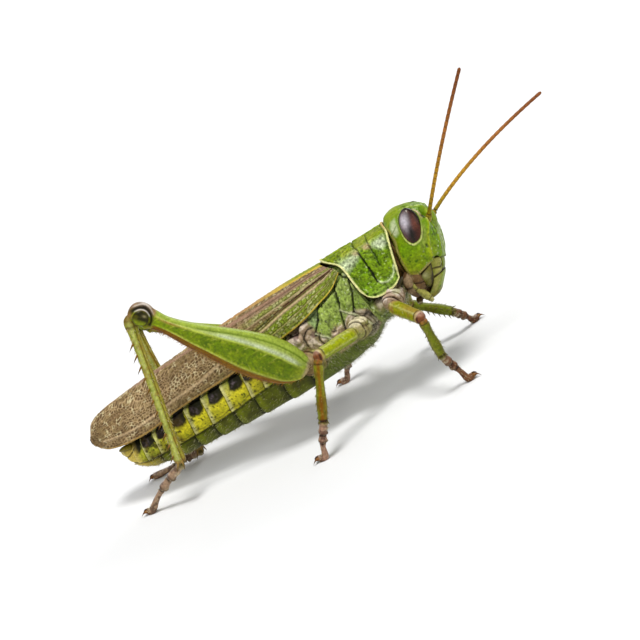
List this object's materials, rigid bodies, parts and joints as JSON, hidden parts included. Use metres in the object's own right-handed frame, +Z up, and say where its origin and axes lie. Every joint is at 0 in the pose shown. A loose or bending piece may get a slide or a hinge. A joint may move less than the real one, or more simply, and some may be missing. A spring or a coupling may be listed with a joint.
{
  "type": "short-horned grasshopper",
  "caption": "Life-size still model of a short-horned grasshopper, standing on its feet with wings folded, hind knees raised and antennae held forward.",
  "frame": {"origin": "the middle of the model's outline seen from above, on the floor it stands on", "axes": "+X towards the head, +Y to the insect's left, +Z up"},
  "size_m": [0.0552, 0.0214, 0.0277],
  "materials": {
    "shell_green": "smooth, slightly glossy yellow-green shell with fine pits",
    "eye_brown": "glossy dark red-brown eye",
    "antenna_rust": "satin, olive at the base to rusty brown at the tip",
    "mouth_olive": "satin olive with dark seams",
    "throat_brown": "dull dark brown soft skin",
    "thorax_green": "satin grey-green with dark seams and fine hair below",
    "abdomen_yellow": "satin yellow rings with dark patches",
    "wing_brown": "dry leathery wing with a raised net of veins",
    "coxa_mauve": "satin mauve-brown joint",
    "leg_green": "satin yellow-green",
    "tibia_olive": "satin olive green with brown grooves",
    "foot_brown": "satin mauve-brown with dark joints"
  },
  "bodies": {
    "root": {"abdomen_front": "abdomen_yellow", "abdomen_middle": "abdomen_yellow", "abdomen_rear": "abdomen_yellow", "antenna_left": "antenna_rust", "antenna_right": "antenna_rust", "cercus_left": "abdomen_yellow", "cercus_right": "abdomen_yellow", "coxa_fore_left": "coxa_mauve", "coxa_fore_right": "coxa_mauve", "coxa_hind_left": "coxa_mauve", "coxa_hind_right": "coxa_mauve", "coxa_mid_left": "coxa_mauve", "coxa_mid_right": "coxa_mauve", "eye_left": "eye_brown", "eye_right": "eye_brown", "femur_fore_left": "leg_green", "femur_fore_right": "leg_green", "femur_hind_left": "leg_green", "femur_hind_right": "leg_green", "femur_mid_left": "leg_green", "femur_mid_right": "leg_green", "forewing_left": "wing_brown", "forewing_right": "wing_brown", "head": "shell_green", "labial_palp_left": "throat_brown", "labial_palp_right": "throat_brown", "labium": "throat_brown", "labrum": "shell_green", "mandible_left": "mouth_olive", "mandible_right": "mouth_olive", "maxillary_palp_left": "mouth_olive", "maxillary_palp_right": "mouth_olive", "neck": "throat_brown", "pronotum": "shell_green", "tarsus_fore_left": "foot_brown", "tarsus_fore_right": "foot_brown", "tarsus_hind_left": "foot_brown", "tarsus_hind_right": "foot_brown", "tarsus_mid_left": "foot_brown", "tarsus_mid_right": "foot_brown", "thorax": "thorax_green", "tibia_fore_left": "tibia_olive", "tibia_fore_right": "tibia_olive", "tibia_hind_left": "tibia_olive", "tibia_hind_right": "tibia_olive", "tibia_mid_left": "tibia_olive", "tibia_mid_right": "tibia_olive"}
  },
  "joints": []
}
